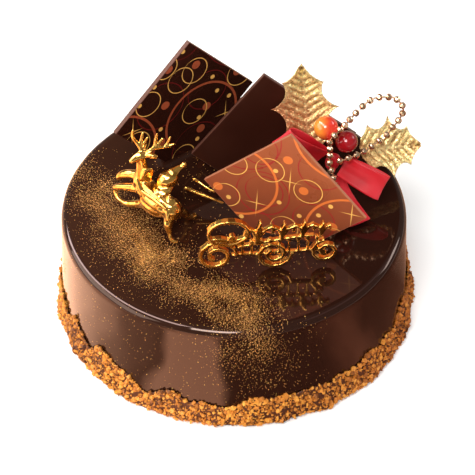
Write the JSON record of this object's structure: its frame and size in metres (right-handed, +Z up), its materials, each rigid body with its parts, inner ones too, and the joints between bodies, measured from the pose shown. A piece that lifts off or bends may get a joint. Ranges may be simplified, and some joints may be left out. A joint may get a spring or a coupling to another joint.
{
  "type": "sachertorte cake",
  "caption": "Round chocolate cake under a dark mirror glaze, with a toasted crumb foot, chocolate squares, gold reindeer, gold scrollwork, holly leaves, berries and a red bow.",
  "frame": {"origin": "centre of the round cake's flat underside, which rests on Z = 0", "axes": "+Z up along the cake's axis, -Y the front, +X to the right seen from the front"},
  "size_m": [0.1622, 0.1625, 0.1171],
  "materials": {
    "glaze": "dark chocolate mirror glaze, wet gloss",
    "crumb": "toasted caramel crumbs, rough",
    "dark_chocolate": "tempered dark chocolate, satin gloss",
    "milk_chocolate": "tempered milk chocolate, satin gloss",
    "gold": "polished gold plating",
    "gold_glitter": "gold glitter on crinkled leaf",
    "orange_berry": "glossy orange-red berry",
    "red_berry": "glossy dark red berry",
    "ribbon": "red satin ribbon",
    "wire": "drawn wire"
  },
  "bodies": {
    "root": {"cake_body": "glaze", "crumb_ring": "crumb", "square_dark_printed": "dark_chocolate", "square_dark_plain": "dark_chocolate", "square_milk_printed": "milk_chocolate", "leaf_upright": "gold_glitter", "leaf_right": "gold_glitter", "bow_loop_left": "ribbon", "bow_loop_right": "ribbon", "bow_tail": "ribbon", "bow_knot": "ribbon", "berry_orange": "orange_berry", "berry_red": "red_berry", "bead_chain": "gold", "pick_wire": "wire", "gold_scrollwork": "gold", "gold_reindeer": "gold", "gold_runner_low": "gold", "gold_runner_high": "gold"}
  },
  "joints": []
}
